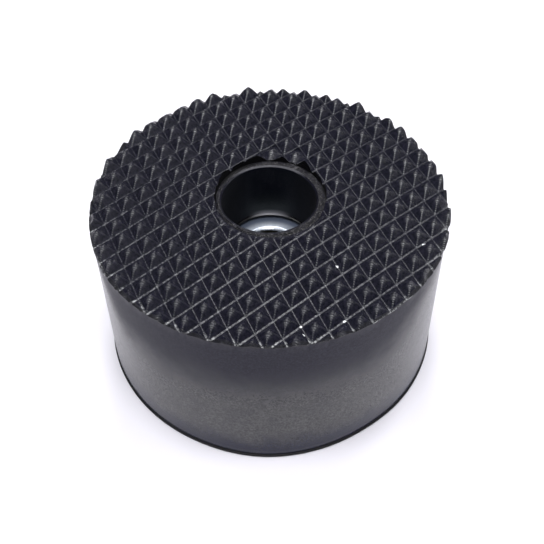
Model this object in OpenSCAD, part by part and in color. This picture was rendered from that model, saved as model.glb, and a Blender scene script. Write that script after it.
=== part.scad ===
// Screw-on rubber foot: a moulded rubber body with a diamond tread on its face
// and a steel washer moulded into its bore. It stands on its flat mounting base,
// with the tread up. Origin: centre of the base. +Z runs along the bore, out of the tread.

/* [Body] */
// Diameter of the wall just above the base lip
wall_bottom_d = 38.6; // [34:0.1:48]
// Diameter of the wall at the bottom of the tread grooves
wall_top_d = 38.0; // [32:0.1:46]
// Height from the base to the bottom of the tread grooves
body_h = 20.1; // [16:0.1:32]
// How far the thin lip at the base stands out from the wall, on the radius
lip_out = 0.15; // [0.05:0.05:0.6]
// Height of that lip
lip_h = 0.35; // [0.2:0.05:1.5]

/* [Tread] */
// Distance between neighbouring grooves, measured square to them
groove_pitch = 2.13; // [1.6:0.01:3.6]
// Angle at which the two sets of grooves cross
groove_angle = 75; // [60:1:90]
// Direction of the long diagonal of the diamonds, from +X
pattern_turn = 76.3; // [0:0.1:180]
// Height of the pyramids above the bottom of the grooves
tread_h = 1.05; // [0.4:0.05:1.6]
// Width of the small flat left at each tip
tip_flat = 0.12; // [0.06:0.02:0.5]
// How far in from the wall the rim of the tread is bevelled, at the height of the tips
rim_bevel = 0.6; // [0.2:0.1:1.6]

/* [Bore] */
// Diameter of the bore that takes the screw head
bore_d = 10.2; // [9:0.1:10.6]
// Diameter of the plain ring left round the mouth of the bore
collar_d = 11.8; // [11.2:0.1:16]
// Depth of the washer below the bottom of the grooves
washer_depth = 7.6; // [4:0.1:10]
// Diameter of the passage under the washer
lower_bore_d = 9.0; // [7:0.1:9.6]
// Bevel at the two mouths of the bore
mouth_bevel = 0.2; // [0.05:0.05:0.3]

/* [Washer] */
// Outside diameter of the steel washer
washer_d = 16; // [14:0.5:22]
// Thickness of the steel washer
washer_t = 1.2; // [0.8:0.1:2]
// Diameter of the screw hole in the washer
washer_hole_d = 6.4; // [4.3:0.1:6.8]
// Bevel round the upper edge of the screw hole
washer_bevel = 0.3; // [0.1:0.05:0.4]

/* [Hidden] */
fn = 96;
e = 1;                                     // how far a cutter runs past a face
e2 = 0.2;                                  // the same, for a bevel cutter inside the plain ring
washer_top = body_h - washer_depth;        // height of the washer's upper face
total_h = body_h + tread_h;
rim_low = 0.1;                             // the rim's bevel starts this far below the bottom of the grooves
teeth = ceil(wall_bottom_d / 2 / groove_pitch) + 1;

// Outline of one set of grooves: V grooves with a groove bottom on the axis
// and a narrow flat on each crest. It reaches below the base.
function zigzag(n) = [
    for (i = [-n : n]) each [
        [i * groove_pitch, 0],
        [i * groove_pitch + (groove_pitch - tip_flat) / 2, tread_h],
        [i * groove_pitch + (groove_pitch + tip_flat) / 2, tread_h]
    ],
    [(n + 1) * groove_pitch, 0],
    [(n + 1) * groove_pitch, -body_h - e],
    [-n * groove_pitch, -body_h - e]
];

// A block whose top carries one set of straight grooves, running at turn to +Y
module grooved_block(turn) {
    rotate([0, 0, turn])
        translate([0, 0, body_h])
            rotate([90, 0, 0])
                linear_extrude(height = wall_bottom_d + 4 * e, center = true)
                    polygon(zigzag(teeth));
}

// Two sets of grooves crossing at groove_angle leave four-sided pyramids,
// bevelled off where they meet the wall
module treaded_body() {
    intersection() {
        union() {
            cylinder(d1 = wall_bottom_d, d2 = wall_top_d, h = body_h - rim_low, $fn = fn);
            translate([0, 0, body_h - rim_low])
                cylinder(d1 = wall_top_d, d2 = wall_top_d - 2 * rim_bevel, h = tread_h + rim_low, $fn = fn);
        }
        grooved_block(pattern_turn - 90 - groove_angle / 2);
        grooved_block(pattern_turn - 90 + groove_angle / 2);
    }
}

module rubber_body() {
    color([0.10, 0.10, 0.11])
    difference() {
        union() {
            treaded_body();
            cylinder(d = wall_bottom_d + 2 * lip_out, h = lip_h, $fn = fn);
        }
        // plain ring round the mouth: the pyramids stop short of the bore
        translate([0, 0, body_h])
            cylinder(d = collar_d, h = tread_h + e, $fn = fn);
        // bore for the screw head, down to the washer
        translate([0, 0, washer_top])
            cylinder(d = bore_d, h = washer_depth + e, $fn = fn);
        translate([0, 0, body_h - mouth_bevel])
            cylinder(d1 = bore_d, d2 = bore_d + 2 * (mouth_bevel + e2), h = mouth_bevel + e2, $fn = fn);
        // the washer's seat, a closed groove in the wall of the bore
        translate([0, 0, washer_top - washer_t])
            cylinder(d = washer_d, h = washer_t, $fn = fn);
        // passage for the screw, from the washer to the base
        translate([0, 0, -e])
            cylinder(d = lower_bore_d, h = washer_top - washer_t + 1.5 * e, $fn = fn);
        translate([0, 0, -e])
            cylinder(d1 = lower_bore_d + 2 * (mouth_bevel + e), d2 = lower_bore_d, h = mouth_bevel + e, $fn = fn);
    }
}

module steel_washer() {
    color([0.66, 0.69, 0.74])
    translate([0, 0, washer_top - washer_t])
    difference() {
        cylinder(d = washer_d, h = washer_t, $fn = fn);
        translate([0, 0, -e])
            cylinder(d = washer_hole_d, h = washer_t + 2 * e, $fn = fn);
        translate([0, 0, washer_t - washer_bevel])
            cylinder(d1 = washer_hole_d, d2 = washer_hole_d + 2 * (washer_bevel + e), h = washer_bevel + e, $fn = fn);
    }
}

rubber_body();
steel_washer();
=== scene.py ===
import math

import bpy
import numpy as np
from mathutils import Matrix, Vector


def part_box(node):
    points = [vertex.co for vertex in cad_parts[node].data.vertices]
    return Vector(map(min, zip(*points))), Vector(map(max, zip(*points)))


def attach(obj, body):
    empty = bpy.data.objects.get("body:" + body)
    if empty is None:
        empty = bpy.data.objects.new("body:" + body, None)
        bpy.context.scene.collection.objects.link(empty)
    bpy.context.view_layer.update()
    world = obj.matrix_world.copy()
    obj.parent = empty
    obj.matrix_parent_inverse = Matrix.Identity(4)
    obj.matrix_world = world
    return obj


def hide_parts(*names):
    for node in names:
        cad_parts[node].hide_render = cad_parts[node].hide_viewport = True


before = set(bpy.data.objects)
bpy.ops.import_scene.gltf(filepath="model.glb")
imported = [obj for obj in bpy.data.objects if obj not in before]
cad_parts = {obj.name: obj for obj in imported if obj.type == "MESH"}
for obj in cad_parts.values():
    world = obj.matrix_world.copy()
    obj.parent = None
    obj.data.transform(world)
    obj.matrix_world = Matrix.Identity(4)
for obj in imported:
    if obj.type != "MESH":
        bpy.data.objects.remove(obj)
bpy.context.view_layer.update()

MM = 0.001
rng = np.random.default_rng(11)

# ---------------------------------------------------------------- the CAD's own levels, in millimetres
body_lo, body_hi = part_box("rubber_body")
ring_lo, ring_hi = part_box("steel_washer")
BASE_R = body_hi.x / MM                 # outside of the base lip
SEAT_TOP = ring_hi.z / MM               # upper face of the washer
SEAT_LOW = ring_lo.z / MM               # lower face of the washer
WASHER_R = ring_hi.x / MM
RIM_R = 19.0                            # edge of the tread
WALL_R = 19.3                           # wall just above the lip
RIM_Z = 19.7                            # groove bottoms at the edge of the tread
BORE_R = 5.1
LOWER_R = 4.5
HIP_NECK, HIP_BEAD, HIP_R1 = 0.012, 0.10, 0.30   # rounding of the pyramids' edges at the foot and the head of a step, and what it gains towards the tip
UNEVEN = 0.006


def smooth_noise(x, y, z, scale, seed, octaves=3):
    """Smooth noise in about -1..1 from a sum of sines with fixed random directions."""
    g = np.random.default_rng(seed)
    out = np.zeros_like(x)
    total = 0.0
    for o in range(octaves):
        for _ in range(6):
            d = g.normal(size=3)
            d /= np.linalg.norm(d)
            k = 2 * math.pi / (scale / 2 ** o) * g.uniform(0.7, 1.4)
            out += 0.5 ** o * np.sin(k * (d[0] * x + d[1] * y + d[2] * z) + g.uniform(0, 6.283))
        total += 0.5 ** o * 2.2
    return out / total


# ---------------------------------------------------------------- tread: crossed grooves with pyramids between them
ORG = np.array((-4.0994, -16.8196))     # a groove crossing
E1 = np.array((1.7235, 1.3880))         # to the next crossing along an A groove
E2 = np.array((0.8898, -2.0151))        # to the next crossing along a B groove
PEAK = 1.22                             # rise per half pitch
FLAT_A, FLAT_B = 0.090, 0.042           # half width of the groove flats, as a share of half the pitch
TIP = 0.33                              # share of the pyramid that is rounded off at the tip
LAYERS = 7                              # cutter steps down each side
STEP_RUN, STEP_RISE = 0.43, 0.57        # shares of a step's run and rise that are in its steeper part
STUMPS = {(1, -3): 0.60, (2, -2): 0.62, (0, -3): 0.80}   # worn pyramids beside the bore, and their height
CUT_C = np.array((0.15, 0.20))          # centre of the plain ring's outer edge, a little off the axis
CUT_R = 5.97
MOUTH_Z = 20.30                         # the mouth of the bore
# height of the torn edge round the plain ring, by azimuth in degrees (0 is +Y, 90 is +X)
TORN = np.array([(-92, 0), (-74, .5), (-66, 1), (-51, 1), (-47, .5), (-46, .15), (-43, .4), (-35, .6), (-27, .75), (-19, 1), (-11, .9),
                 (-7, .3), (-1, .3), (5, .4), (8, .75), (14, .75), (18, .25), (21, .1), (31, .1), (33, .5), (38, .75), (45, .6),
                 (49, .15), (52, .3), (59, .4), (68, .1), (77, 0)], float)


def dome(r):
    """The groove bottoms lie on a shallow dome."""
    s = 1 - (np.minimum(r, 22.0) / RIM_R) ** 2
    return RIM_Z + 19.0 * (0.01554 * s + 0.02913 * s * np.abs(s))


def ease(x, lo, hi):
    u = np.clip((x - lo) / (hi - lo), 0, 1)
    return u * u * (3 - 2 * u)


def rim_limit(x, y):
    """The tread falls away to the edge of the face; on the far and right side the tips stand up to the edge."""
    r = np.hypot(x, y)
    d = np.minimum(RIM_R - r, 2.5)
    full = ease(np.cos(np.arctan2(x, y) - math.radians(8)), -0.08, 0.12)
    wavy = 0.13 * (1 - full) * smooth_noise(x, y, 0 * x, 2.4, 31, 2)
    return RIM_Z + 0.26 + wavy + 0.79 * full + 1.25 * d - 0.12 * d * np.abs(d)


def mouth_limit(x, y):
    """The pyramids on the near side of the bore are crushed down towards the plain ring."""
    r = np.hypot(x - CUT_C[0], y - CUT_C[1])
    near = ease(-np.cos(np.arctan2(x, y)), 0.0, 0.5)
    return MOUTH_Z - 0.07 + 3.0 * (1 - near) + (0.85 - 0.0 * near) * np.maximum(r - CUT_R, -1)


def ring_table():
    """(size of the contour as a share of the flat's edge, height) from the groove's edge to near the tip."""
    rise = PEAK * 0.95
    rows = [(1.0, 0.0)]
    for k in range(LAYERS):
        t0 = 1 + (TIP - 1) * k / LAYERS
        t1 = 1 + (TIP - 1) * (k + 1) / LAYERS
        z0, z1 = rise * (1 - t0), rise * (1 - t1)
        rows.append((t0 + STEP_RUN * (t1 - t0), z0 + STEP_RISE * (z1 - z0)))
        rows.append((t1, z1))
    for f in (0.72, 0.4):
        rows.append((TIP * f, rise * ((1 - TIP) + TIP * 0.5 * (1 - f * f))))
    return rows, rise * ((1 - TIP) + TIP * 0.5)


def contour(sa, sb, rc):
    """16 points round a rounded rectangle of half sizes sa, sb."""
    pts = []
    for qx, qy, side in ((1, 1, (0, sb)), (-1, 1, (-sa, 0)), (-1, -1, (0, -sb)), (1, -1, (sa, 0))):
        cx, cy = qx * (sa - rc), qy * (sb - rc)
        turn = [(cx + qx * rc, cy), (cx + qx * rc * 0.7071, cy + qy * rc * 0.7071), (cx, cy + qy * rc)]
        pts += turn if qx * qy > 0 else turn[::-1]
        pts.append(side)
    return np.array(pts, float)


def tread_cells():
    rows, apex = ring_table()
    heads = set(range(1, 2 * LAYERS + 1, 2))
    sa0, sb0 = 1 - FLAT_A, 1 - FLAT_B
    edge = contour(1.0, 1.0, 0.06)
    for n in range(1, 16, 4):           # the outer ring is the full rhombus
        edge[n] = np.sign(edge[n])
    rings = [(edge, 0.0)]
    for k, (t, z) in enumerate(rows):
        rc = min(0.985 * t * min(sa0, sb0), (HIP_BEAD if k in heads else HIP_NECK) + HIP_R1 * float(ease(1 - t, 0.34, 0.72)))
        rings.append((contour(sa0 * t, sb0 * t, rc), z))
    inv = np.linalg.inv(np.array([E1, E2]).T)
    n_ring = len(rings)
    verts, tris, key_of = [], [], {}
    label = []                          # which contour a vertex lies on; 0 for none
    cell = 0
    b0, a0 = (inv @ (-ORG)).round().astype(int)
    for i in range(-14, 15):
        for j in range(-14, 15):
            c = ORG + (i + b0 + 0.5) * E1 + (j + a0 + 0.5) * E2
            rr = np.hypot(*c)
            tall = 1 + 0.018 * rng.normal()
            lean = 0.010 * rng.normal(size=2)
            if rr > RIM_R + 1.75 or rr < CUT_R - 2.2:
                continue
            cap = STUMPS.get((i, j))
            ids = []
            cell += 1

            def level(z, al=0.0, be=0.0):
                z = z * tall
                if cap:
                    rho = np.hypot(*(al * E2 / 2 + be * E1 / 2))
                    top = cap + 0.04 - 0.58 * math.sqrt(rho * rho + 0.004)
                    z = 0.5 * (z + top - math.sqrt((z - top) ** 2 + 0.012))
                return z

            for k, (pts, z) in enumerate(rings):
                up = z / apex
                for al, be in pts:
                    xy = c + (al + lean[0] * up) * E2 / 2 + (be + lean[1] * up) * E1 / 2
                    if k == 0:
                        key = (round(1000 * (i + 0.5 + be / 2)), round(1000 * (j + 0.5 + al / 2)))
                        if key in key_of:
                            ids.append(key_of[key])
                            continue
                        key_of[key] = len(verts)
                    ids.append(len(verts))
                    verts.append((xy[0], xy[1], level(z, al, be) if k else 0.0))
                    label.append(cell * 100 + k)
            tip = len(verts)
            xy = c + lean[0] * E2 / 2 + lean[1] * E1 / 2
            verts.append((xy[0], xy[1], level(apex)))
            label.append(0)
            for k in range(n_ring - 1):
                for n in range(16):
                    p, q = ids[16 * k + n], ids[16 * k + (n + 1) % 16]
                    s, r = ids[16 * (k + 1) + n], ids[16 * (k + 1) + (n + 1) % 16]
                    if n % 4 in (0, 3):
                        tris += [(p, q, s), (q, r, s)]
                    else:
                        tris += [(p, q, r), (p, r, s)]
            last = 16 * (n_ring - 1)
            for n in range(16):
                tris.append((ids[last + n], ids[last + (n + 1) % 16], tip))
    v = np.array(verts, float)
    t = np.array(tris, np.int64)
    h = v[:, 2].copy()
    v[:, 2] = dome(np.hypot(v[:, 0], v[:, 1])) + h
    v[:, 2] += UNEVEN * smooth_noise(v[:, 0], v[:, 1], h, 1.6, 3, 2)
    v[:, 0] += UNEVEN * smooth_noise(v[:, 0], v[:, 1], h, 1.8, 4, 2)
    v[:, 1] += UNEVEN * smooth_noise(v[:, 0], v[:, 1], h, 1.8, 5, 2)
    a, b, c3 = v[t[:, 0]], v[t[:, 1]], v[t[:, 2]]
    area = (b[:, 0] - a[:, 0]) * (c3[:, 1] - a[:, 1]) - (b[:, 1] - a[:, 1]) * (c3[:, 0] - a[:, 0])
    flip = area < 0
    t[flip] = t[flip][:, ::-1]          # counter-clockwise seen from above
    return np.column_stack([v, np.array(label, float)]), t


def split(v, t, f):
    """Splits the triangles along f = 0, f given at the vertices. Gives vertices, triangles, and the side of each: -1 or 1."""
    s = np.sign(f).astype(int)
    st = s[t]
    cross = (st < 0).any(1) & (st > 0).any(1)
    side = np.where((st > 0).any(1), 1, -1)
    out, sides = [tuple(x) for x in t[~cross]], list(side[~cross])
    new, cut = [], {}

    def on(i, j):
        key = (min(i, j), max(i, j))
        if key not in cut:
            p, q = v[key[0]], v[key[1]]
            u = f[key[0]] / (f[key[0]] - f[key[1]])
            cut[key] = len(v) + len(new)
            new.append(p + (q - p) * u)
        return cut[key]

    for tri in t[cross]:
        for want in (-1, 1):
            poly = []
            for k in range(3):
                i, j = int(tri[k]), int(tri[(k + 1) % 3])
                if s[i] * want >= 0:
                    poly.append(i)
                if s[i] * s[j] < 0:
                    poly.append(on(i, j))
            for k in range(1, len(poly) - 1):
                out.append((poly[0], poly[k], poly[k + 1]))
                sides.append(want)
    if new:
        v = np.vstack([v, np.array(new).reshape(-1, v.shape[1])])
    return v, np.array(out, np.int64), np.array(sides)


def tidy(v, t):
    used = np.unique(t)
    remap = -np.ones(len(v), np.int64)
    remap[used] = np.arange(len(used))
    return v[used], remap[t]


def trim_round(v, t, centre, radius, keep_inside, snap=0.014):
    """Cuts the sheet along a circle in plan."""
    d = v[:, :2] - centre
    r = np.hypot(d[:, 0], d[:, 1])
    near = np.abs(r - radius) < snap
    v = v.copy()
    v[near, :2] = centre + d[near] * (radius / r[near])[:, None]
    f = r - radius
    f[near] = 0.0
    n_old = len(v)
    v, t, side = split(v, t, f if keep_inside else -f)
    d = v[n_old:, :2] - centre          # put the new points exactly on the circle
    v[n_old:, :2] = centre + d * (radius / np.hypot(d[:, 0], d[:, 1]))[:, None]
    return tidy(v, t[side < 0])


def lower_to(v, t, limit):
    """Lowers what stands above the surface limit(x, y) onto it, with a clean crease."""
    f = v[:, 2] - limit(v[:, 0], v[:, 1])
    f[np.abs(f) < 0.006] = 0.0
    v, t, side = split(v, t, f)
    over = np.unique(t[side > 0])
    v[over, 2] = np.minimum(v[over, 2], limit(v[over, 0], v[over, 1]))
    return v, t


def border(t):
    """Directed edges that only one face has."""
    e = np.vstack([t[:, [0, 1]], t[:, [1, 2]], t[:, [2, 0]]])
    n = int(e.max()) + 1
    fwd = e[:, 0] * n + e[:, 1]
    back = e[:, 1] * n + e[:, 0]
    return e[~np.isin(fwd, back)]


def by_angle(v, ids):
    a = np.arctan2(v[ids, 1], v[ids, 0])
    o = np.argsort(a)
    return ids[o], a[o]


def follow(v, e):
    """The border edges of a ring as one loop, anticlockwise from the vertex nearest to -pi, with angles that never fall."""
    after = {int(a): int(b) for a, b in e}
    start = min(after, key=lambda i: math.atan2(v[i, 1], v[i, 0]))
    loop = [start]
    while len(loop) <= len(after):
        j = after.get(loop[-1], start)
        if j == start:
            break
        loop.append(j)
    if len(loop) < 0.98 * len(after):
        return by_angle(v, np.unique(e))
    loop = np.array(loop)
    a = np.unwrap(np.arctan2(v[loop, 1], v[loop, 0]))
    if a[-1] < a[0]:
        loop = np.concatenate([loop[:1], loop[:0:-1]])
        a = np.unwrap(np.arctan2(v[loop, 1], v[loop, 0]))
    return loop, np.maximum.accumulate(a)


class Builder:
    """Collects vertices and triangles of one closed piece, in millimetres."""

    def __init__(self):
        self.v, self.t, self.n = [], [], 0

    def add(self, pts):
        pts = np.asarray(pts, float).reshape(-1, 3)
        ids = np.arange(self.n, self.n + len(pts))
        self.v.append(pts)
        self.n += len(pts)
        return ids

    def faces(self, t):
        self.t.append(np.asarray(t, np.int64).reshape(-1, 3))

    def points(self, ids):
        return np.vstack(self.v)[ids]

    def angle(self, ids):
        p = self.points(ids)
        a = np.arctan2(p[:, 1], p[:, 0])
        first = np.arange(len(a)) < len(a) // 4
        return np.where(first & (a > 0), a - 2 * math.pi, a)        # the loops start near -pi

    def ring(self, r, z, seg, turn=0.0):
        a = -math.pi + turn + 2 * math.pi * np.arange(seg) / seg
        return self.add(np.stack([r * np.cos(a), r * np.sin(a), np.full(seg, z)], 1)), a

    def zip(self, ia, aa, ib, ab, up):
        """Triangles between two loops sorted by angle. up=True when loop a is the outer or lower one of an upward or outward face."""
        na, nb = len(ia), len(ib)
        i = j = 0
        ea = np.concatenate([aa, aa[:1] + 2 * math.pi])
        eb = np.concatenate([ab, ab[:1] + 2 * math.pi])
        out = []
        while i < na or j < nb:
            if j >= nb or (i < na and ea[i + 1] <= eb[j + 1]):
                out.append((ia[i % na], ia[(i + 1) % na], ib[j % nb]))
                i += 1
            else:
                out.append((ia[i % na], ib[(j + 1) % nb], ib[j % nb]))
                j += 1
        out = np.array(out)
        self.faces(out if up else out[:, ::-1])

    def revolve(self, profile, seg, first=None, last=None):
        """Lathes (r, z) points. first and last are loops (ids, angles) to start from or end at."""
        loops = [first] if first is not None else []
        for r, z in profile:
            loops.append(self.ring(r, z, seg))
        if last is not None:
            loops.append(last)
        for (ia, aa), (ib, ab) in zip(loops[:-1], loops[1:]):
            self.zip(ia, aa, ib, ab, False)
        return loops

    def mesh(self, name):
        v = np.vstack(self.v) * MM
        t = np.vstack(self.t)
        me = bpy.data.meshes.new(name)
        me.vertices.add(len(v))
        me.vertices.foreach_set("co", v.astype(np.float32).ravel())
        me.loops.add(3 * len(t))
        me.loops.foreach_set("vertex_index", t.astype(np.int32).ravel())
        me.polygons.add(len(t))
        me.polygons.foreach_set("loop_start", np.arange(0, 3 * len(t), 3, dtype=np.int32))
        me.update(calc_edges=True)
        me.validate()
        ob = bpy.data.objects.new(name, me)
        bpy.context.scene.collection.objects.link(ob)
        return ob


def arc(cr, cz, rad, a0, a1, n):
    """n+1 points of an arc in the (r, z) plane, angles in degrees from +r."""
    return [(cr + rad * math.cos(math.radians(a0 + (a1 - a0) * k / n)),
             cz + rad * math.sin(math.radians(a0 + (a1 - a0) * k / n))) for k in range(n + 1)]


def shade(ob, angle=32):
    ob.data.polygons.foreach_set("use_smooth", np.ones(len(ob.data.polygons), bool))
    ob.data.set_sharp_from_angle(angle=math.radians(angle))


def crisp_steps(ob, label):
    """The edges that run along a contour of the tread are creases: the cutter's steps stay crisp."""
    me = ob.data
    e = np.empty(2 * len(me.edges), np.int32)
    me.edges.foreach_get("vertices", e)
    e = e.reshape(-1, 2)
    lab = np.zeros(len(me.vertices))
    lab[:len(label)] = label
    a, c = lab[e[:, 0]], lab[e[:, 1]]
    att = me.attributes.get("sharp_edge") or me.attributes.new("sharp_edge", "BOOLEAN", "EDGE")
    sharp = np.empty(len(me.edges), bool)
    att.data.foreach_get("value", sharp)
    row = np.round(a).astype(int) % 100
    sharp |= (np.abs(a - c) < 1e-6) & (row > 1) & (row < 2 * LAYERS + 2)
    att.data.foreach_set("value", sharp)
    me.update()
    # within one band between two contours the flats keep their own normal and only the rounded edges turn
    nf = len(me.polygons)
    normal, area, vi = np.empty(3 * nf), np.empty(nf), np.empty(3 * nf, np.int32)
    me.polygons.foreach_get("normal", normal)
    me.polygons.foreach_get("area", area)
    me.loops.foreach_get("vertex_index", vi)
    normal = normal.reshape(-1, 3) * area[:, None]
    tri = lab[vi].reshape(-1, 3)
    whole = np.abs(tri - np.round(tri)) < 1e-6
    same = (np.floor_divide(np.round(tri), 100).max(1) == np.floor_divide(np.round(tri), 100).min(1))
    ok = whole.all(1) & same & (np.round(tri) % 100 > 0).all(1) & (tri > 0).all(1)
    band = np.round(tri.min(1)).astype(np.int64)
    key = vi.reshape(-1, 3)[ok].astype(np.int64) * 200000 + band[ok][:, None]
    names, where = np.unique(key.ravel(), return_inverse=True)
    where = where.ravel()
    total = np.stack([np.bincount(where, np.repeat(normal[ok][:, d], 3), len(names)) for d in range(3)], 1)
    total /= np.maximum(np.linalg.norm(total, axis=1), 1e-12)[:, None]
    out = np.zeros((nf, 3, 3))
    out[ok] = total[where].reshape(-1, 3, 3)
    me.normals_split_custom_set(out.reshape(-1, 3).tolist())


# ---------------------------------------------------------------- rubber body
def make_body():
    v, t = tread_cells()
    v, t = lower_to(v, t, rim_limit)
    v, t = lower_to(v, t, mouth_limit)
    v, t = trim_round(v, t, np.zeros(2), RIM_R, True)
    v, t = trim_round(v, t, CUT_C, CUT_R, False)
    b = Builder()
    label, v = v[:, 3], v[:, :3]
    b.add(v)
    b.faces(t)
    e = border(t)
    rr = np.hypot(v[:, 0], v[:, 1])
    outer = follow(v, e[rr[e].min(1) > 15])
    inner = follow(v, e[rr[e].max(1) < 8])

    seg = 288
    zc = RIM_Z
    wall = [(RIM_R + 0.004, zc - 0.12), (RIM_R + 0.02, zc - 1.2)]
    for f in (0.15, 0.3, 0.45, 0.6, 0.75, 0.88):
        wall.append((RIM_R + (WALL_R - RIM_R) * f, zc - 1.2 - (zc - 1.2 - 1.2) * f))
    wall += [(WALL_R, 1.2), (WALL_R, 0.62)]
    # a fine crease, then the lip left by the mould's parting edge
    wall += [(WALL_R - 0.03, 0.50), (WALL_R - 0.035, 0.44), (WALL_R + 0.005, 0.38)]
    wall += arc(BASE_R - 0.11, 0.25, 0.11, 75, -20, 5)
    wall += [(BASE_R - 0.03, 0.10), (BASE_R - 0.09, 0.02), (BASE_R - 0.16, 0.0)]
    under = [(16.5, 0.0), (13.0, 0.0), (9.0, 0.0), (LOWER_R + 0.45, 0.0)]
    under += arc(LOWER_R + 0.3, 0.3, 0.3, 270, 180, 5)[1:]
    under += [(LOWER_R, 3.0), (LOWER_R, 6.0), (LOWER_R, 9.0), (LOWER_R, SEAT_LOW - 0.12), (LOWER_R + 0.05, SEAT_LOW)]
    pocket = [(6.0, SEAT_LOW), (WASHER_R, SEAT_LOW), (WASHER_R, SEAT_TOP), (6.6, SEAT_TOP), (BORE_R + 0.34, SEAT_TOP)]
    # a gap over the washer, and a small rounded ledge where the rubber closed on it
    bore = [(BORE_R + 0.30, SEAT_TOP + 0.08), (BORE_R + 0.10, SEAT_TOP + 0.13), (BORE_R - 0.12, SEAT_TOP + 0.16), (BORE_R - 0.19, SEAT_TOP + 0.20)]
    bore += [(BORE_R - 0.215, SEAT_TOP + 0.30), (BORE_R - 0.225, SEAT_TOP + 0.42), (BORE_R - 0.21, SEAT_TOP + 0.475), (BORE_R - 0.17, SEAT_TOP + 0.51)]
    bore += [(BORE_R - 0.12, SEAT_TOP + 0.545), (BORE_R - 0.07, SEAT_TOP + 0.60), (BORE_R - 0.03, SEAT_TOP + 0.69), (BORE_R, SEAT_TOP + 0.92)]
    bore += [(BORE_R, z) for z in (14.0, 15.2, 16.4, 17.6, 18.8, 19.6)]
    collar_z = MOUTH_Z
    bore += arc(BORE_R + 0.24, collar_z - 0.24, 0.24, 180, 80, 8)
    loops = b.revolve(wall + under + pocket + bore, seg)
    b.zip(*outer, *loops[0], False)
    # the plain ring falls a little from the mouth to its outer edge, where the pyramids are cut off
    ring = loops[-1]
    mouth = b.points(ring[0])
    back = ease(np.sin(ring[1]), -0.2, 0.7)             # the far side of the ring is nearly level
    for f, drop in ((0.25, 0.03), (0.5, 0.09), (0.75, 0.15), (1.0, 0.22)):
        a = ring[1]
        z = collar_z - drop * (1 - 0.75 * back) + 0.035 * math.sin(math.pi * f) * smooth_noise(6 * np.cos(a), 6 * np.sin(a), 3 * f + 0 * a, 0.9, 22, 2)
        far = np.stack([CUT_C[0] + (CUT_R - 0.09) * np.cos(a), CUT_C[1] + (CUT_R - 0.09) * np.sin(a)], 1)
        pts = np.column_stack([mouth[:, :2] * (1 - f) + far * f, z])
        ids = b.add(pts)
        nxt = (ids, a)
        b.zip(*ring[:2], *nxt, False)
        ring = nxt
    # the torn edge where the pyramids were cut back, standing up on the far side of the mouth
    a = ring[1]
    tall = np.interp(np.degrees(np.arctan2(np.cos(a), np.sin(a))), TORN[:, 0], TORN[:, 1])
    foot = collar_z - 0.22 * (1 - 0.75 * back)
    tall = tall * (1 + 0.10 * smooth_noise(7 * np.cos(a), 7 * np.sin(a), 0 * a, 1.1, 21, 2))
    for inset, drop in ((0.085, 0.0), (0.02, 0.05)):
        rad = CUT_R - inset
        pts = np.column_stack([CUT_C[0] + rad * np.cos(a), CUT_C[1] + rad * np.sin(a), foot + np.maximum(tall - 0.17 * back - drop, 0)])
        nxt = (b.add(pts), a)
        b.zip(*ring[:2], *nxt, False)
        ring = nxt
    b.zip(ring[0], b.angle(ring[0]), *inner, False)
    v = np.vstack(b.v)                  # the far edge of the tread leans out a little
    r = np.hypot(v[:, 0], v[:, 1])
    out = ease(np.cos(np.arctan2(v[:, 0], v[:, 1]) - math.radians(40)), -0.1, 0.5)
    out = 0.14 * out * ease(r, 17.0, 18.9) * ease(v[:, 2], 19.2, 20.4)
    v[:, 0] += out * v[:, 0] / np.maximum(r, 1)
    v[:, 1] += out * v[:, 1] / np.maximum(r, 1)
    out = ease(np.cos(np.arctan2(v[:, 0], v[:, 1]) + math.radians(88)), 0.5, 0.95)
    out = 0.12 * out * ease(r, 17.0, 18.9) * ease(v[:, 2], 18.0, 19.6)
    v[:, 0] += out * v[:, 0] / np.maximum(r, 1)
    v[:, 1] += out * v[:, 1] / np.maximum(r, 1)
    stand = v[:, 2] - RIM_Z                                    # between the grooves the rim bulges a little
    out = 0.15 * ease(stand, 0.03, 0.16) * ease(r, 18.4, 18.99) * ease(-np.cos(np.arctan2(v[:, 0], v[:, 1]) + math.radians(8)), 0.10, 0.40)
    v[:, 0] += out * v[:, 0] / np.maximum(r, 1)
    v[:, 1] += out * v[:, 1] / np.maximum(r, 1)
    v[:, 2] -= 0.35 * out
    front = np.degrees(np.arctan2(v[:, 0], -v[:, 1]))          # and the base lip is a little out of round
    out = 0.19 * np.exp(-((front + 3) / 17) ** 2) - 0.11 * np.exp(-((front - 34) / 12) ** 2)
    out = out * ease(r, 18.0, 19.0) * (1 - ease(v[:, 2], 0.3, 2.6))
    v[:, 0] += out * v[:, 0] / np.maximum(r, 1)
    v[:, 1] += out * v[:, 1] / np.maximum(r, 1)
    r = np.hypot(v[:, 0], v[:, 1])                             # the near lip of the mouth is pushed up and in
    near = ease(-v[:, 1] / np.maximum(r, 1), 0.1, 0.9) * (1 - ease(r, 5.6, 6.1)) * ease(v[:, 2], MOUTH_Z - 0.9, MOUTH_Z - 0.15)
    v[:, 2] += 0.20 * near
    v[:, 0] *= 1 - 0.026 * near
    v[:, 1] *= 1 - 0.026 * near
    b.v = [v]
    ob = b.mesh("rubber_body_moulding")
    return ob, label


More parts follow.
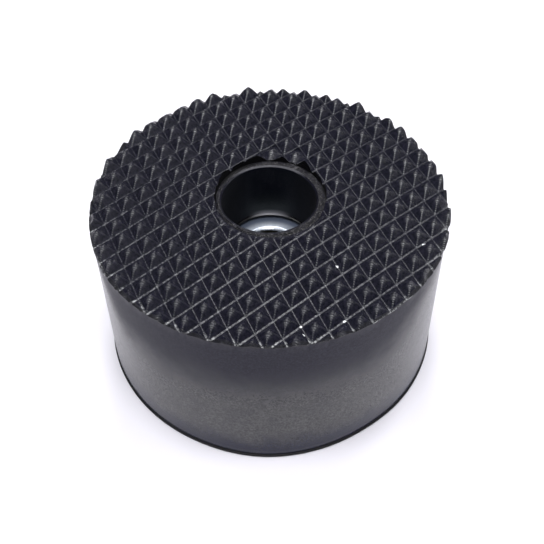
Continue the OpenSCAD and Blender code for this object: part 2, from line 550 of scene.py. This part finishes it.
# ---------------------------------------------------------------- washer
def make_washer():
    b = Builder()
    seg = 240
    top, low = SEAT_TOP - 0.004, SEAT_LOW + 0.004
    hole = 3.21
    out = WASHER_R - 0.01
    prof = [(out - 0.12, top), (out - 0.04, top - 0.03), (out, top - 0.12), (out, low + 0.12), (out - 0.04, low + 0.03), (out - 0.12, low)]
    prof += [(6.5, low), (5.2, low), (4.2, low), (hole + 0.16, low), (hole + 0.07, low + 0.03), (hole + 0.04, low + 0.12)]
    prof += [(hole + 0.03, low + 0.40), (hole, low + 0.55), (hole - 0.03, top - 0.46)]
    prof += [(hole - 0.05, top - 0.38), (hole - 0.02, top - 0.29), (hole + 0.05, top - 0.21), (hole + 0.14, top - 0.13), (hole + 0.22, top - 0.065), (hole + 0.28, top - 0.022), (hole + 0.35, top - 0.002)]
    prof += [(4.0, top + 0.0), (4.6, top), (5.4, top), (6.6, top)]
    loops = b.revolve(prof, seg)
    b.zip(*loops[-1], *loops[0], False)
    return b.mesh("steel_washer_disc")


body, on_step = make_body()
washer = make_washer()
for ob, ang in ((body, 32), (washer, 40)):
    shade(ob, ang)
crisp_steps(body, on_step)


# ---------------------------------------------------------------- materials
class Nodes:
    def __init__(self, name):
        self.mat = bpy.data.materials.new(name)
        self.mat.use_nodes = True
        self.nt = self.mat.node_tree
        self.nt.nodes.clear()

    def new(self, kind, **kw):
        n = self.nt.nodes.new(kind)
        for k, val in kw.items():
            setattr(n, k, val)
        return n

    def link(self, a, b):
        self.nt.links.new(a, b)

    def put(self, socket, val):
        if hasattr(val, "is_linked") or isinstance(val, bpy.types.NodeSocket):
            self.link(val, socket)
        else:
            socket.default_value = val

    def math(self, op, a, b=0.0, c=None, clamp=False):
        n = self.new("ShaderNodeMath", operation=op, use_clamp=clamp)
        self.put(n.inputs[0], a)
        self.put(n.inputs[1], b)
        if c is not None:
            self.put(n.inputs[2], c)
        return n.outputs[0]

    def step(self, x, lo, hi, smooth=True):
        """0 below lo, 1 above hi."""
        n = self.new("ShaderNodeMapRange", interpolation_type="SMOOTHSTEP" if smooth else "LINEAR")
        self.put(n.inputs["Value"], x)
        n.inputs["From Min"].default_value = lo
        n.inputs["From Max"].default_value = hi
        return n.outputs["Result"]

    def remap(self, x, lo, hi, a, b):
        n = self.new("ShaderNodeMapRange")
        self.put(n.inputs["Value"], x)
        n.inputs["From Min"].default_value = lo
        n.inputs["From Max"].default_value = hi
        n.inputs["To Min"].default_value = a
        n.inputs["To Max"].default_value = b
        return n.outputs["Result"]

    def mix(self, f, a, b):
        n = self.new("ShaderNodeMix", data_type="RGBA")
        self.put(n.inputs["Factor"], f)
        self.put(n.inputs["A"], a)
        self.put(n.inputs["B"], b)
        return n.outputs["Result"]

    def noise(self, vec, scale, detail=3.0, rough=0.55, dist=0.0):
        n = self.new("ShaderNodeTexNoise")
        self.link(vec, n.inputs["Vector"])
        n.inputs["Scale"].default_value = scale
        n.inputs["Detail"].default_value = detail
        n.inputs["Roughness"].default_value = rough
        n.inputs["Distortion"].default_value = dist
        return n.outputs["Fac"]


def rubber_material():
    m = Nodes("black_rubber")
    tc = m.new("ShaderNodeTexCoord").outputs["Object"]
    mm = m.new("ShaderNodeVectorMath", operation="SCALE")
    m.link(tc, mm.inputs[0])
    mm.inputs["Scale"].default_value = 1000.0
    pos = mm.outputs[0]                                   # position in millimetres
    sep = m.new("ShaderNodeSeparateXYZ")
    m.link(pos, sep.inputs[0])
    x, y, z = sep.outputs
    r = m.math("SQRT", m.math("ADD", m.math("MULTIPLY", x, x), m.math("MULTIPLY", y, y)))
    is_wall = m.math("MULTIPLY", m.step(r, 18.90, 18.97), m.math("SUBTRACT", 1.0, m.step(z, 19.45, 19.75)))
    # upper band of the wall: smooth and darker; below it the rubber has a grey bloom with a scuffed edge
    warp = m.noise(pos, 0.22, 4.0, 0.6, 0.6)
    salt = m.noise(pos, 4.0, 3.0, 0.85)
    edge = m.math("ADD", z, m.remap(warp, 0.3, 0.7, -0.9, 0.9))
    top_edge = m.math("SUBTRACT", edge, m.math("MULTIPLY", m.step(x, 11.5, 17.5), 6.0))          # it climbs higher on the right
    top_edge = m.math("SUBTRACT", top_edge, m.math("MULTIPLY", m.step(m.math("MULTIPLY", x, -1.0), 15.0, 18.4), 6.5))
    top_edge = m.math("ADD", top_edge, m.remap(salt, 0.3, 0.7, -1.5, 1.5))
    bloom = m.math("SUBTRACT", 1.0, m.step(top_edge, 9.0, 16.5))
    mottle = m.noise(pos, 1.6, 4.0, 0.6)
    grain = m.noise(pos, 7.0, 3.0, 0.6)
    bloom = m.math("MULTIPLY", bloom, m.remap(mottle, 0.25, 0.75, 0.74, 1.18))
    patch = m.noise(pos, 0.38, 3.0, 0.6, 0.4)
    bloom = m.math("MULTIPLY", m.math("MULTIPLY", bloom, m.remap(patch, 0.35, 0.65, 0.80, 1.08)), is_wall)
    dark = m.mix(m.step(m.noise(pos, 3.0, 4.0, 0.75), 0.32, 0.72), (0.0050, 0.0060, 0.0110, 1), (0.0190, 0.0180, 0.0310, 1))
    dark = m.mix(is_wall, dark, m.mix(m.step(salt, 0.35, 0.68), (0.0002, 0.0002, 0.0090, 1), (0.0140, 0.0135, 0.0285, 1)))
    grey = m.mix(m.step(salt, 0.32, 0.68), (0.0283, 0.0283, 0.0300, 1), (0.0985, 0.0980, 0.0995, 1))
    # painted shade: the grey bloom is darkened and turned blue in the last few millimetres above the base, standing in
    # for the contact shadow
    low = m.mix(m.step(edge, 1.0, 4.9), (0.05, 0.08, 0.40, 1), (1, 1, 1, 1))
    grey_bloom_base_shade = m.new("ShaderNodeMix", data_type="RGBA", blend_type="MULTIPLY")
    grey_bloom_base_shade.inputs["Factor"].default_value = 1.0
    m.link(grey, grey_bloom_base_shade.inputs["A"])
    m.link(low, grey_bloom_base_shade.inputs["B"])
    base = m.mix(bloom, dark, grey_bloom_base_shade.outputs["Result"])
    # painted shade: a near-black band at the top of the wall, just under the edge of the tread
    rim = m.math("MULTIPLY", m.step(r, 18.78, 18.94), m.math("SUBTRACT", 1.0, m.step(z, 20.05, 20.4)))
    rim = m.math("MULTIPLY", rim, m.math("MULTIPLY", m.math("SUBTRACT", 1.0, is_wall), m.step(z, 19.0, 19.3)))
    base = m.mix(rim, base, m.mix(m.step(salt, 0.40, 0.66), (0.001, 0.001, 0.003, 1), (0.018, 0.018, 0.026, 1)))
    # painted shade: the base lip is painted near black for the crease and contact shadow along the bottom edge
    lip = m.math("MULTIPLY", m.step(r, 18.9, 19.0), m.math("SUBTRACT", 1.0, m.step(z, 0.50, 0.66)))
    base = m.mix(lip, base, (0.001, 0.001, 0.003, 1))
    # the plain ring at the mouth is a torn, granular surface
    rx, ry = m.math("SUBTRACT", x, float(CUT_C[0])), m.math("SUBTRACT", y, float(CUT_C[1]))
    rc = m.math("SQRT", m.math("ADD", m.math("MULTIPLY", rx, rx), m.math("MULTIPLY", ry, ry)))
    ring = m.math("MULTIPLY", m.math("SUBTRACT", 1.0, m.step(rc, CUT_R - 0.12, CUT_R - 0.08)), m.step(r, BORE_R + 0.10, BORE_R + 0.24))
    ring = m.math("MULTIPLY", ring, m.step(z, 19.9, 19.98))
    torn = m.math("MULTIPLY", m.step(rc, CUT_R - 0.11, CUT_R - 0.09), m.math("SUBTRACT", 1.0, m.step(rc, CUT_R - 0.01, CUT_R + 0.04)))
    torn = m.math("MULTIPLY", torn, m.step(y, -1.0, 0.5))
    grit = m.noise(pos, 3.2, 3.0, 0.7, 0.8)
    base = m.mix(ring, base, m.mix(m.step(grit, 0.42, 0.72), (0.002, 0.002, 0.004, 1), (0.022, 0.021, 0.032, 1)))
    chip = m.noise(pos, 5.5, 2.0, 0.7)
    base = m.mix(m.math("MULTIPLY", ring, m.step(chip, 0.56, 0.68)), base, (0.110, 0.106, 0.112, 1))
    # painted shade: the torn edge on the far side and the outer part of the ring on the back left are painted near
    # black for the shade in the gap between the ring and the pyramids
    az = m.math("MULTIPLY", m.math("ARCTAN2", x, y), 180 / math.pi)
    cut = m.math("MULTIPLY", m.step(az, -66.0, -54.0), m.math("SUBTRACT", 1.0, m.step(az, -26.0, -14.0)))
    cut = m.math("MULTIPLY", m.math("MULTIPLY", cut, ring), m.step(m.math("ADD", rc, m.remap(grit, 0.3, 0.7, -0.08, 0.08)), CUT_R - 0.46, CUT_R - 0.34))
    base = m.mix(m.math("MAXIMUM", torn, cut), base, (0.002, 0.002, 0.003, 1))
    torn = m.math("MAXIMUM", torn, cut)
    under = m.math("MULTIPLY", m.math("SUBTRACT", 1.0, m.step(r, 5.6, 5.8)), m.math("SUBTRACT", 1.0, m.step(z, SEAT_TOP + 0.38, SEAT_TOP + 0.46)))
    # painted highlight: a pale band on the far lip of the mouth
    far_lip_highlight = m.math("MULTIPLY", m.math("MULTIPLY", m.step(r, BORE_R + 0.03, BORE_R + 0.10), m.math("SUBTRACT", 1.0, m.step(r, BORE_R + 0.20, BORE_R + 0.34))), m.step(y, 3.2, 4.6))
    base = m.mix(m.math("MULTIPLY", far_lip_highlight, m.step(z, 19.9, 20.05)), base, (0.10, 0.10, 0.115, 1))
    # painted shade and reflection: the bore wall is painted near black and bluish, with a lighter patch low in the
    # middle standing in for a reflection
    in_bore = m.math("MULTIPLY", m.math("SUBTRACT", 1.0, m.step(r, BORE_R + 0.01, BORE_R + 0.05)), m.step(z, SEAT_TOP + 0.62, SEAT_TOP + 0.80))
    bore_painted_reflection = m.math("MULTIPLY", m.math("SUBTRACT", 1.0, m.step(z, 13.2, 17.2)), m.math("SUBTRACT", 1.0, m.step(m.math("ABSOLUTE", x), 1.0, 3.6)))
    base = m.mix(in_bore, base, m.mix(bore_painted_reflection, (0.0010, 0.0018, 0.0060, 1), (0.0120, 0.0160, 0.0180, 1)))
    # painted highlight and shade: the ledge over the washer is painted near black for the shade under it, with a pale
    # arc on its top in the middle for a highlight
    ledge = m.math("MULTIPLY", m.math("SUBTRACT", 1.0, m.step(r, BORE_R + 0.02, BORE_R + 0.06)), m.math("SUBTRACT", 1.0, m.step(z, SEAT_TOP + 0.46, SEAT_TOP + 1.30)))
    ledge_highlight_middle = m.math("SUBTRACT", 1.0, m.step(m.math("ABSOLUTE", m.math("SUBTRACT", x, 0.1)), 0.6, 2.7))
    base = m.mix(ledge, base, m.mix(m.math("MULTIPLY", ledge_highlight_middle, m.step(z, SEAT_TOP + 0.42, SEAT_TOP + 0.50)), (0.002, 0.002, 0.003, 1), (0.24, 0.24, 0.27, 1)))
    # pale marks on the tread: dust in the groove bottoms, made brighter towards the front as painted highlight; painted
    # highlight beads down the front edges, painted glints below the tips and at the groove ends; and a few specks of
    # lint
    inv = np.linalg.inv(np.array([E1, E2]).T)
    off = inv @ ORG
    la = m.math("ADD", m.math("ADD", m.math("MULTIPLY", x, float(inv[0, 0])), m.math("MULTIPLY", y, float(inv[0, 1]))), float(100.5 - off[0]))
    lb = m.math("ADD", m.math("ADD", m.math("MULTIPLY", x, float(inv[1, 0])), m.math("MULTIPLY", y, float(inv[1, 1]))), float(100.5 - off[1]))
    fa, fb = m.math("SUBTRACT", m.math("FRACT", la), 0.5), m.math("SUBTRACT", m.math("FRACT", lb), 0.5)      # 0 on a groove
    ragged = m.remap(m.noise(pos, 6.0, 2.0, 0.7), 0.3, 0.7, -0.022, 0.022)
    on_b, on_a = m.math("ADD", m.math("ABSOLUTE", fa), ragged), m.math("ADD", m.math("ABSOLUTE", fb), ragged)
    fleck = m.noise(pos, 3.6, 2.0, 0.6)
    fleck = m.step(fleck, 0.40, 0.66)
    face = m.math("MULTIPLY", m.math("SUBTRACT", 1.0, is_wall), m.step(z, 19.62, 19.70))
    face = m.math("MULTIPLY", face, m.step(rc, CUT_R + 0.02, CUT_R + 0.08))
    front = m.remap(m.math("ADD", m.math("MULTIPLY", x, 0.35), y), -14.0, 8.0, 1.0, 0.08)
    dust_and_painted_glints = m.math("MULTIPLY", m.math("SUBTRACT", 1.0, m.step(on_a, 0.028, 0.056)), m.math("MULTIPLY", front, 0.13))
    dust_and_painted_glints = m.math("ADD", dust_and_painted_glints, m.math("MULTIPLY", m.math("SUBTRACT", 1.0, m.step(on_b, 0.015, 0.045)), m.remap(y, -14.0, 14.0, 0.05, 0.014)))
    ta = m.math("SUBTRACT", m.math("FRACT", m.math("ADD", la, 0.5)), 0.5)       # 0 at a tip
    tb = m.math("SUBTRACT", m.math("FRACT", m.math("ADD", lb, 0.5)), 0.5)
    side = m.math("MULTIPLY", m.math("ABSOLUTE", m.math("ADD", ta, tb)), 1.34)
    hip = m.math("MULTIPLY", m.math("SUBTRACT", 1.0, m.step(side, 0.03, 0.10)), m.step(m.math("SUBTRACT", tb, ta), 0.10, 0.22))
    along = m.math("MULTIPLY", m.math("SUBTRACT", m.math("SUBTRACT", tb, ta), 0.20), 1.75)
    # bead: a painted highlight on each step down the front edge
    bead = m.step(m.math("SINE", m.math("MULTIPLY", along, 2 * math.pi / 0.19)), -0.1, 0.9)    # one mark on each step
    dust_and_painted_glints = m.math("MULTIPLY", dust_and_painted_glints, fleck)
    dust_and_painted_glints = m.math("ADD", dust_and_painted_glints, m.math("MULTIPLY", m.math("MULTIPLY", hip, bead), m.math("MULTIPLY", m.remap(fleck, 0, 1, 0.12, 0.36), m.remap(m.math("SUBTRACT", y, m.math("MULTIPLY", x, -0.5)), -14.0, 10.0, 0.28, 1.0))))
    # painted highlights: pale specks at the groove ends near the front edge
    ends = m.math("MAXIMUM", m.math("SUBTRACT", 1.0, m.step(on_a, 0.03, 0.08)), m.math("SUBTRACT", 1.0, m.step(on_b, 0.03, 0.07)))
    ends = m.math("MULTIPLY", ends, m.math("MULTIPLY", m.step(r, 18.1, 18.8), m.math("SUBTRACT", 1.0, m.step(y, -6.0, 2.0))))
    dust_and_painted_glints = m.math("ADD", dust_and_painted_glints, m.math("MULTIPLY", ends, m.remap(fleck, 0, 1, 0.02, 0.30)))
    spot = m.math("SQRT", m.math("ADD", m.math("MULTIPLY", side, side), m.math("MULTIPLY", along, along)))
    dust_and_painted_glints = m.math("ADD", dust_and_painted_glints, m.math("MULTIPLY", m.math("MULTIPLY", m.math("SUBTRACT", 1.0, m.step(spot, 0.04, 0.26)), bead), m.math("MULTIPLY", m.remap(grain, 0.3, 0.7, 0.030, 0.100), m.remap(y, -14.0, 10.0, 0.50, 1.25))))
    # painted highlight: a soft pale glint below each tip
    tip_painted_glint = m.math("MULTIPLY", m.math("SUBTRACT", 1.0, m.step(spot, 0.02, 0.52)), m.math("ADD", 0.5, m.math("MULTIPLY", bead, 0.5)))
    dust_and_painted_glints = m.math("ADD", dust_and_painted_glints, m.math("MULTIPLY", tip_painted_glint, m.remap(y, -14.0, 6.0, 0.040, 0.010)))
    for sx, sy, rad in ((7.01, -16.18, 0.15), (15.72, -6.51, 0.16), (6.66, -9.57, 0.14), (3.08, -17.84, 0.12), (2.84, -16.71, 0.11)):
        dx, dy = m.math("SUBTRACT", x, sx), m.math("SUBTRACT", y, sy)       # specks of lint
        d2 = m.math("ADD", m.math("MULTIPLY", dx, dx), m.math("MULTIPLY", dy, dy))
        dust_and_painted_glints = m.math("ADD", dust_and_painted_glints, m.math("SUBTRACT", 1.0, m.step(d2, rad * rad * 0.5, rad * rad * 1.6)))
    # mixes the dust and the painted highlights into the tread towards near white
    base = m.mix(m.math("MULTIPLY", face, dust_and_painted_glints, clamp=True), base, (0.95, 0.97, 1.0, 1))
    bsdf = m.new("ShaderNodeBsdfPrincipled")
    m.link(base, bsdf.inputs["Base Color"])
    rough = m.math("SUBTRACT", m.remap(mottle, 0.3, 0.7, 0.20, 0.25), m.math("MULTIPLY", is_wall, -0.02))
    rough = m.math("ADD", rough, m.math("MULTIPLY", m.math("MULTIPLY", is_wall, m.step(top_edge, 9.0, 16.5)), 0.31))
    rough = m.math("ADD", rough, m.math("ADD", m.math("MULTIPLY", m.math("MAXIMUM", ring, torn), 0.20), m.math("MULTIPLY", cut, 0.35)))
    rough = m.math("ADD", rough, m.math("MULTIPLY", in_bore, m.math("ADD", 0.10, m.math("MULTIPLY", m.step(m.math("ABSOLUTE", x), 1.4, 3.8), 0.45))))
    rough = m.math("ADD", rough, m.math("MULTIPLY", m.math("MULTIPLY", face, hip), m.math("MULTIPLY", m.math("SUBTRACT", 1.0, bead), 0.50)))
    right = m.math("MULTIPLY", m.math("SUBTRACT", 1.0, m.step(m.math("ABSOLUTE", m.math("SUBTRACT", ta, tb)), 0.02, 0.08)), m.step(m.math("ADD", ta, tb), 0.04, 0.14))
    rough = m.math("ADD", rough, m.math("MULTIPLY", m.math("MULTIPLY", face, right), 0.12))
    rough = m.math("ADD", rough, m.math("MULTIPLY", under, 0.4))
    rough = m.math("ADD", rough, m.math("MULTIPLY", m.math("MAXIMUM", rim, lip), 0.34))
    m.link(rough, bsdf.inputs["Roughness"])
    bsdf.inputs["IOR"].default_value = 1.37
    fine = m.noise(pos, 5.0, 2.0, 0.5)
    smooth = m.math("MAXIMUM", is_wall, m.math("SUBTRACT", 1.0, m.step(z, 14.0, 15.0)))
    h = m.math("ADD", m.math("MULTIPLY", grain, m.remap(smooth, 0, 1, 0.006, 0.004)), m.math("MULTIPLY", fine, m.remap(smooth, 0, 1, 0.028, 0.006)))
    h = m.math("ADD", h, m.math("MULTIPLY", m.math("MULTIPLY", grit, ring), 0.16))
    h = m.math("ADD", h, m.math("MULTIPLY", m.math("MULTIPLY", salt, is_wall), 0.005))
    bump = m.new("ShaderNodeBump")
    bump.inputs["Strength"].default_value = 1.0
    bump.inputs["Distance"].default_value = MM
    m.link(h, bump.inputs["Height"])
    m.link(bump.outputs[0], bsdf.inputs["Normal"])
    out = m.new("ShaderNodeOutputMaterial")
    m.link(bsdf.outputs[0], out.inputs[0])
    return m.mat


def washer_material():
    m = Nodes("zinc_steel")
    tc = m.new("ShaderNodeTexCoord").outputs["Object"]
    mm = m.new("ShaderNodeVectorMath", operation="SCALE")
    m.link(tc, mm.inputs[0])
    mm.inputs["Scale"].default_value = 1000.0
    pos = mm.outputs[0]
    sep = m.new("ShaderNodeSeparateXYZ")
    m.link(pos, sep.inputs[0])
    x, y, z = sep.outputs
    ang = m.math("ARCTAN2", y, x)
    r = m.math("SQRT", m.math("ADD", m.math("MULTIPLY", x, x), m.math("MULTIPLY", y, y)))
    cyl = m.new("ShaderNodeCombineXYZ")
    m.link(m.math("MULTIPLY", ang, 14.0), cyl.inputs[0])
    m.link(m.math("MULTIPLY", r, 0.5), cyl.inputs[1])
    m.link(m.math("MULTIPLY", z, 0.5), cyl.inputs[2])
    streak = m.noise(cyl.outputs[0], 1.0, 3.0, 0.6)
    spot = m.noise(pos, 1.7, 3.0, 0.6)
    col = m.mix(m.step(streak, 0.3, 0.7), (0.56, 0.61, 0.70, 1), (0.67, 0.71, 0.79, 1))
    col = m.mix(m.math("MULTIPLY", m.step(spot, 0.45, 0.75), 0.35), col, (0.60, 0.64, 0.70, 1))
    # painted shade: the washer is painted darker and bluish towards the rubber, where the bore shades it, and darker to
    # one side
    far = m.math("MAXIMUM", m.step(r, 3.70, 4.55), m.math("MULTIPLY", m.step(x, 0.6, 3.2), 0.55))
    col = m.mix(far, col, (0.165, 0.195, 0.27, 1))
    torn = m.math("MULTIPLY", m.math("SUBTRACT", 1.0, m.step(z, SEAT_TOP - 0.42, SEAT_TOP - 0.36)), m.math("SUBTRACT", 1.0, m.step(r, 3.30, 3.36)))
    col = m.mix(torn, col, (0.06, 0.055, 0.035, 1))
    bsdf = m.new("ShaderNodeBsdfPrincipled")
    m.link(col, bsdf.inputs["Base Color"])
    bsdf.inputs["Metallic"].default_value = 1.0
    shiny = m.math("SUBTRACT", 1.0, m.step(r, 3.46, 3.56))
    rough = m.math("SUBTRACT", m.remap(streak, 0.3, 0.7, 0.54, 0.62), m.math("MULTIPLY", shiny, 0.24))
    m.link(m.math("ADD", rough, m.math("MULTIPLY", torn, 0.4)), bsdf.inputs["Roughness"])
    bump = m.new("ShaderNodeBump")
    bump.inputs["Distance"].default_value = MM
    m.link(m.math("MULTIPLY", streak, 0.010), bump.inputs["Height"])
    m.link(bump.outputs[0], bsdf.inputs["Normal"])
    out = m.new("ShaderNodeOutputMaterial")
    m.link(bsdf.outputs[0], out.inputs[0])
    return m.mat


def floor_material():
    m = Nodes("pale_floor")
    bsdf = m.new("ShaderNodeBsdfPrincipled")
    bsdf.inputs["Base Color"].default_value = (0.93, 0.915, 0.99, 1)
    bsdf.inputs["Roughness"].default_value = 0.9
    bsdf.inputs["Specular IOR Level"].default_value = 0.1
    out = m.new("ShaderNodeOutputMaterial")
    m.link(bsdf.outputs[0], out.inputs[0])
    return m.mat


body.data.materials.append(rubber_material())
washer.data.materials.append(washer_material())
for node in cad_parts.values():
    node.data.materials.clear()
    node.data.materials.append(body.data.materials[0] if node.name == "rubber_body" else washer.data.materials[0])

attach(body, "root")
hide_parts("rubber_body")
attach(washer, "root")
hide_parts("steel_washer")

# ---------------------------------------------------------------- floor, light, camera
fm = bpy.data.meshes.new("floor")
s = 0.30
fm.from_pydata([(-s, -s, -2e-5), (s, -s, -2e-5), (s, s, -2e-5), (-s, s, -2e-5)], [], [(0, 1, 2, 3)])
floor = bpy.data.objects.new("floor", fm)
bpy.context.scene.collection.objects.link(floor)
fm.materials.append(floor_material())

world = bpy.data.worlds.new("studio")
bpy.context.scene.world = world
world.use_nodes = True
wt = world.node_tree
faint = wt.nodes["Background"]
faint.inputs[0].default_value = (0.95, 0.97, 1.0, 1)
faint.inputs[1].default_value = 0.01
backdrop = wt.nodes.new("ShaderNodeBackground")            # a pale backdrop behind the part; it adds no light
backdrop.inputs[0].default_value = (0.84, 0.84, 0.88, 1)
backdrop.inputs[1].default_value = 1.0
seen = wt.nodes.new("ShaderNodeLightPath")
either = wt.nodes.new("ShaderNodeMixShader")
wt.links.new(seen.outputs["Is Camera Ray"], either.inputs[0])
wt.links.new(faint.outputs[0], either.inputs[1])
wt.links.new(backdrop.outputs[0], either.inputs[2])
wt.links.new(either.outputs[0], next(n for n in wt.nodes if n.bl_idname == "ShaderNodeOutputWorld").inputs[0])


def softbox(name, azimuth, elevation, half_angle, radiance, color=(1, 1, 1), distance=0.6):
    """A round soft light that looks at the part. Azimuth 0 is behind it (+Y), 90 is to the right (+X)."""
    a, e = math.radians(azimuth), math.radians(elevation)
    d = Vector((math.sin(a) * math.cos(e), math.cos(a) * math.cos(e), math.sin(e)))
    size = 2 * distance * math.tan(math.radians(half_angle))
    li = bpy.data.lights.new(name, "AREA")
    li.shape = "DISK"
    li.size = size
    area = math.pi * size * size / 4
    li.energy = radiance * math.pi * area
    li.color = color
    ob = bpy.data.objects.new(name, li)
    bpy.context.scene.collection.objects.link(ob)
    ob.location = Vector((0, 0, 0.015)) + d * distance
    ob.rotation_mode = "QUATERNION"
    ob.rotation_quaternion = d.to_track_quat("Z", "Y")
    return ob


# soft boxes all round, strongest overhead, with three low ones near the part
for k, (az, el, rad, half) in enumerate((
        (0, 90, 26.0, 6), (120, 78, 7.1, 6.5), (180, 78, 3.0, 6.5), (240, 78, 0.6, 6.5),
        (0, 64, 8.3, 7.5), (90, 64, 4.0, 7.5), (135, 64, 2.1, 7.5), (180, 64, 3.3, 7.5), (225, 64, 5.3, 7.5), (270, 64, 8.2, 7.5), (315, 64, 4.0, 7.5),
        (0, 48, 4.8, 8), (36, 48, 8.9, 8), (108, 48, 1.4, 8), (144, 48, 3.1, 8), (180, 48, 9.6, 8), (252, 48, 5.3, 8),
        (0, 33, 1.2, 10), (30, 14, 1.5, 10), (90, 14, 5.1, 10), (330, 14, 0.7, 10))):
    softbox("softbox_%02d" % k, az, el, half, rad)

cam = bpy.data.cameras.new("camera")
cam.sensor_width = 36.0
cam.lens = 56.17
cam.clip_start, cam.clip_end = 0.005, 10
camera = bpy.data.objects.new("camera", cam)
bpy.context.scene.collection.objects.link(camera)
e, roll = math.radians(49.25), math.radians(-0.948)
zc = Vector((0, -math.cos(e), math.sin(e)))
x0, y0 = Vector((1, 0, 0)), Vector((0, math.sin(e), math.cos(e)))
xc = math.cos(roll) * x0 + math.sin(roll) * y0
yc = -math.sin(roll) * x0 + math.cos(roll) * y0
m4 = Matrix((xc, yc, zc)).transposed().to_4x4()
m4.translation = Vector((0.198, -64.976, 83.80)) * MM
camera.matrix_world = m4
bpy.context.scene.camera = camera
bpy.context.scene.view_settings.view_transform = "Standard"
bpy.context.scene.view_settings.look = "None"
